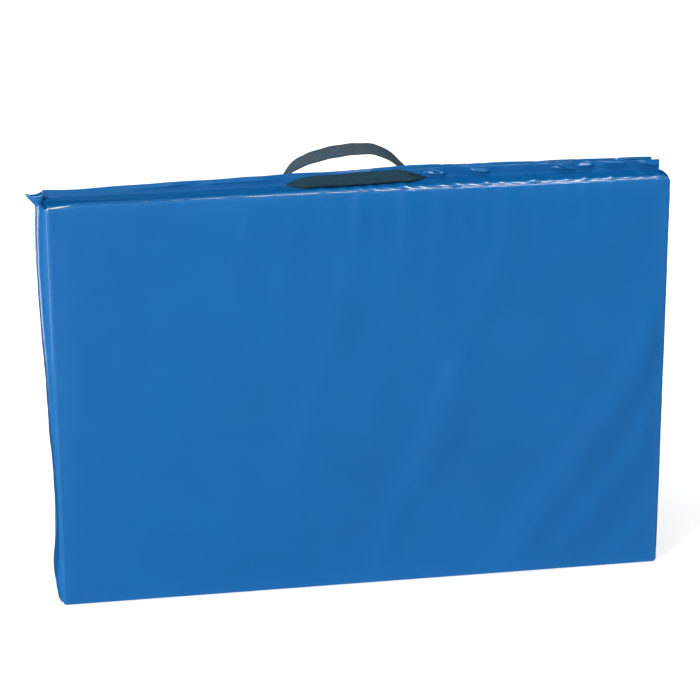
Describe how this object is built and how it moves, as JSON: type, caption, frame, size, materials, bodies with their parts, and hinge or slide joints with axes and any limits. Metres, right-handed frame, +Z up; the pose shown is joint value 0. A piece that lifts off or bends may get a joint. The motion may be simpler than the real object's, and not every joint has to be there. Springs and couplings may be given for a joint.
{
  "type": "folding gym mat",
  "caption": "Foam gym mat in stitched vinyl covers that folds in half at a cloth hinge, with a webbing carrying handle on each panel.",
  "frame": {"origin": "on the floor under the middle of the folded mat, which stands on one long edge", "axes": "+X from the fold to the free end, +Y from the front panel to the rear panel, +Z up"},
  "size_m": [0.945, 0.1, 0.653],
  "materials": {
    "blue_vinyl": "semi-gloss PVC-coated cloth with a fine grain",
    "foam": "closed-cell polyethylene foam",
    "webbing": "woven polypropylene webbing",
    "thread": "polyester sewing thread"
  },
  "bodies": {
    "front_panel": {"front_foam_inner": "foam", "front_foam_outer": "foam", "front_outer_sheet": "blue_vinyl", "front_inner_sheet": "blue_vinyl", "front_hinge_end_wall": "blue_vinyl", "front_free_end_wall": "blue_vinyl", "front_top_wall": "blue_vinyl", "front_bottom_wall": "blue_vinyl", "front_top_flange_left": "blue_vinyl", "front_top_flange_middle": "blue_vinyl", "front_top_flange_right": "blue_vinyl", "front_bottom_flange": "blue_vinyl", "front_free_end_flange": "blue_vinyl", "front_seam_stitching": "thread", "front_handle_tabs": "webbing", "front_handle_left_leg": "webbing", "front_handle_right_leg": "webbing", "fold_strip": "blue_vinyl", "fold_ear": "blue_vinyl"},
    "rear_panel": {"rear_foam_inner": "foam", "rear_foam_outer": "foam", "rear_outer_sheet": "blue_vinyl", "rear_inner_sheet": "blue_vinyl", "rear_hinge_end_wall": "blue_vinyl", "rear_free_end_wall": "blue_vinyl", "rear_top_wall": "blue_vinyl", "rear_bottom_wall": "blue_vinyl", "rear_top_flange_left": "blue_vinyl", "rear_top_flange_middle": "blue_vinyl", "rear_top_flange_right": "blue_vinyl", "rear_bottom_flange": "blue_vinyl", "rear_free_end_flange": "blue_vinyl", "rear_seam_stitching": "thread", "rear_handle_tabs": "webbing", "rear_handle_left_leg": "webbing", "rear_handle_right_leg": "webbing"},
    "front_handle": {"front_handle_grip": "webbing"},
    "rear_handle": {"rear_handle_grip": "webbing"}
  },
  "joints": [
    {"name": "fold", "type": "hinge", "parent": "front_panel", "child": "rear_panel", "pos_m": [-0.4575, 0, 0.305], "axis": [0, 0, 1], "range_deg": [0, 180], "deforming": ["fold_strip", "fold_ear"]},
    {"name": "front_handle_lift", "type": "slide", "parent": "front_panel", "child": "front_handle", "axis": [0, 0, 1], "range_m": [0, 0.036], "deforming": ["front_handle_left_leg", "front_handle_right_leg"]},
    {"name": "rear_handle_lift", "type": "slide", "parent": "rear_panel", "child": "rear_handle", "axis": [0, 0, 1], "range_m": [-0.026, 0], "deforming": ["rear_handle_left_leg", "rear_handle_right_leg"]}
  ]
}
